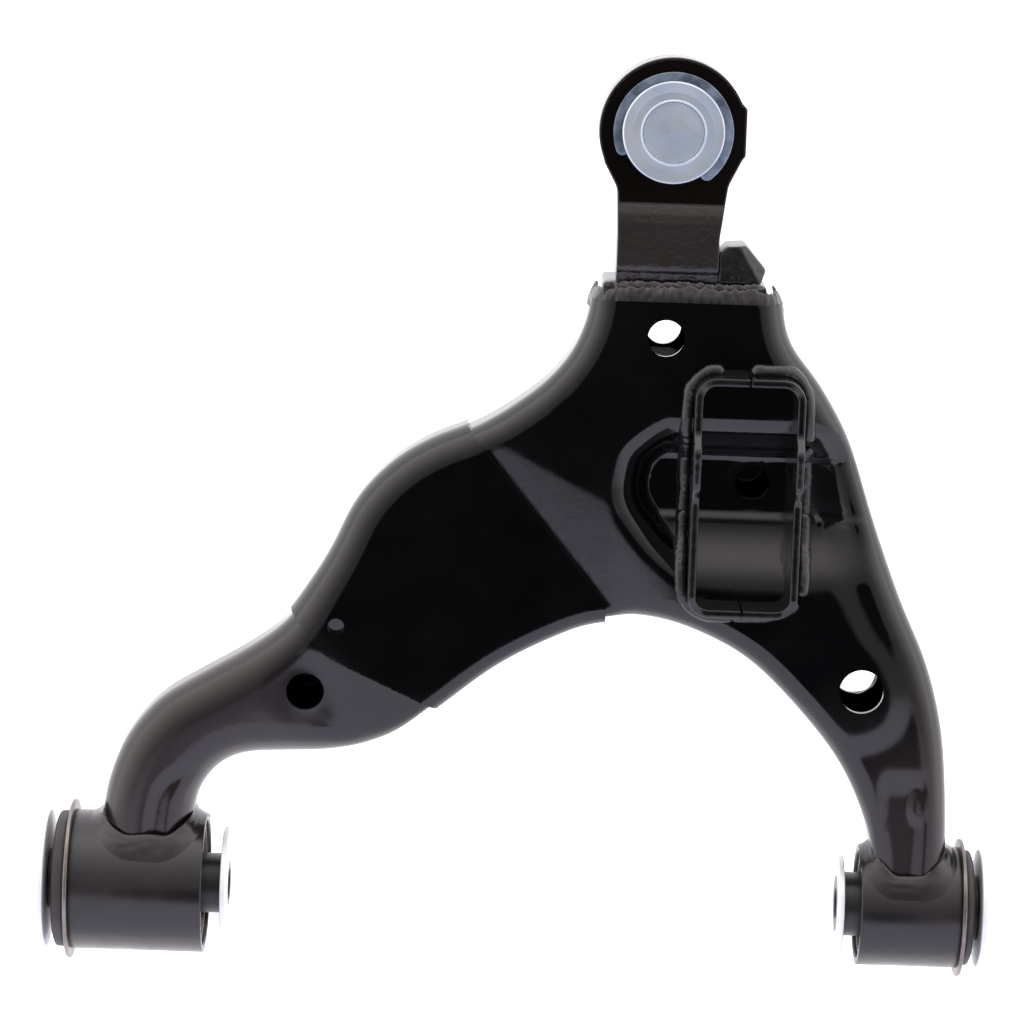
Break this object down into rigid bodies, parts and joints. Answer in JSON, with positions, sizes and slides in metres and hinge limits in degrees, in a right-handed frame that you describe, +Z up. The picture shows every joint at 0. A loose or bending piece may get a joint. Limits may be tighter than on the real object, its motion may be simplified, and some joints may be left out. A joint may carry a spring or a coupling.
{
  "type": "suspension control arm",
  "caption": "Hollow pressed-steel A-shaped lower control arm with two rubber pivot bushes, a welded shock absorber bracket and a forged eye holding a downward ball joint.",
  "frame": {"origin": "middle of the rear pivot bush, on the pivot axis", "axes": "+X forward along the pivot axis, from the rear bush to the front bush; +Y outboard, towards the ball joint; +Z up, the ball stud points to -Z"},
  "size_m": [0.486, 0.475, 0.138],
  "materials": {
    "black_paint": "glossy black electrophoretic paint over pressed steel",
    "forging_paint": "black paint over a rough forging",
    "hub_black": "satin black coated steel sleeve",
    "zinc": "bright blue-white zinc plate",
    "bare_steel": "bare grey steel",
    "rubber": "matt black rubber",
    "liner": "natural acetal"
  },
  "bodies": {
    "control_arm": {"upper_shell": "black_paint", "lower_shell": "black_paint", "saddle_plate": "black_paint", "ball_joint_holder": "forging_paint", "steering_stop": "forging_paint", "shock_bracket_rear": "black_paint", "shock_bracket_front": "black_paint", "rear_bush_housing": "black_paint", "rear_bush_outer_sleeve": "bare_steel", "rear_bush_rubber": "rubber", "front_bush_housing": "black_paint", "front_bush_outer_sleeve": "bare_steel", "front_bush_rubber": "rubber", "ball_joint_housing": "zinc", "ball_joint_end_cap": "zinc", "ball_seat_liner": "liner", "snap_ring": "zinc", "boot_clip_large": "bare_steel"},
    "rear_bush_core": {"rear_bush_inner_sleeve": "hub_black", "rear_bush_large_washer": "zinc", "rear_bush_small_washer": "zinc"},
    "front_bush_core": {"front_bush_inner_sleeve": "hub_black", "front_bush_large_washer": "zinc", "front_bush_small_washer": "zinc"},
    "boot": {"dust_boot": "rubber"},
    "boot_foot": {"boot_clip_small": "bare_steel"},
    "stud": {"ball_stud": "bare_steel"}
  },
  "joints": [
    {"name": "rear_bush_twist", "type": "hinge", "parent": "control_arm", "child": "rear_bush_core", "pos_m": [0, 0, 0], "axis": [1, 0, 0], "range_deg": [-25, 25], "stiffness_Nm_per_rad": 40},
    {"name": "front_bush_twist", "type": "hinge", "parent": "control_arm", "child": "front_bush_core", "pos_m": [0.4, 0, 0], "axis": [1, 0, 0], "range_deg": [-25, 25], "stiffness_Nm_per_rad": 30},
    {"name": "stud_swing", "type": "hinge", "parent": "control_arm", "child": "boot", "pos_m": [0.262, 0.397, 0], "axis": [1, 0, 0], "range_deg": [-20, 20], "deforming": ["dust_boot"]},
    {"name": "stud_rock", "type": "hinge", "parent": "boot", "child": "boot_foot", "pos_m": [0.262, 0.397, 0], "axis": [0, 1, 0], "range_deg": [-14, 14]},
    {"name": "stud_spin", "type": "hinge", "parent": "boot_foot", "child": "stud", "pos_m": [0.262, 0.397, 0], "axis": [0, 0, 1], "continuous": true}
  ]
}
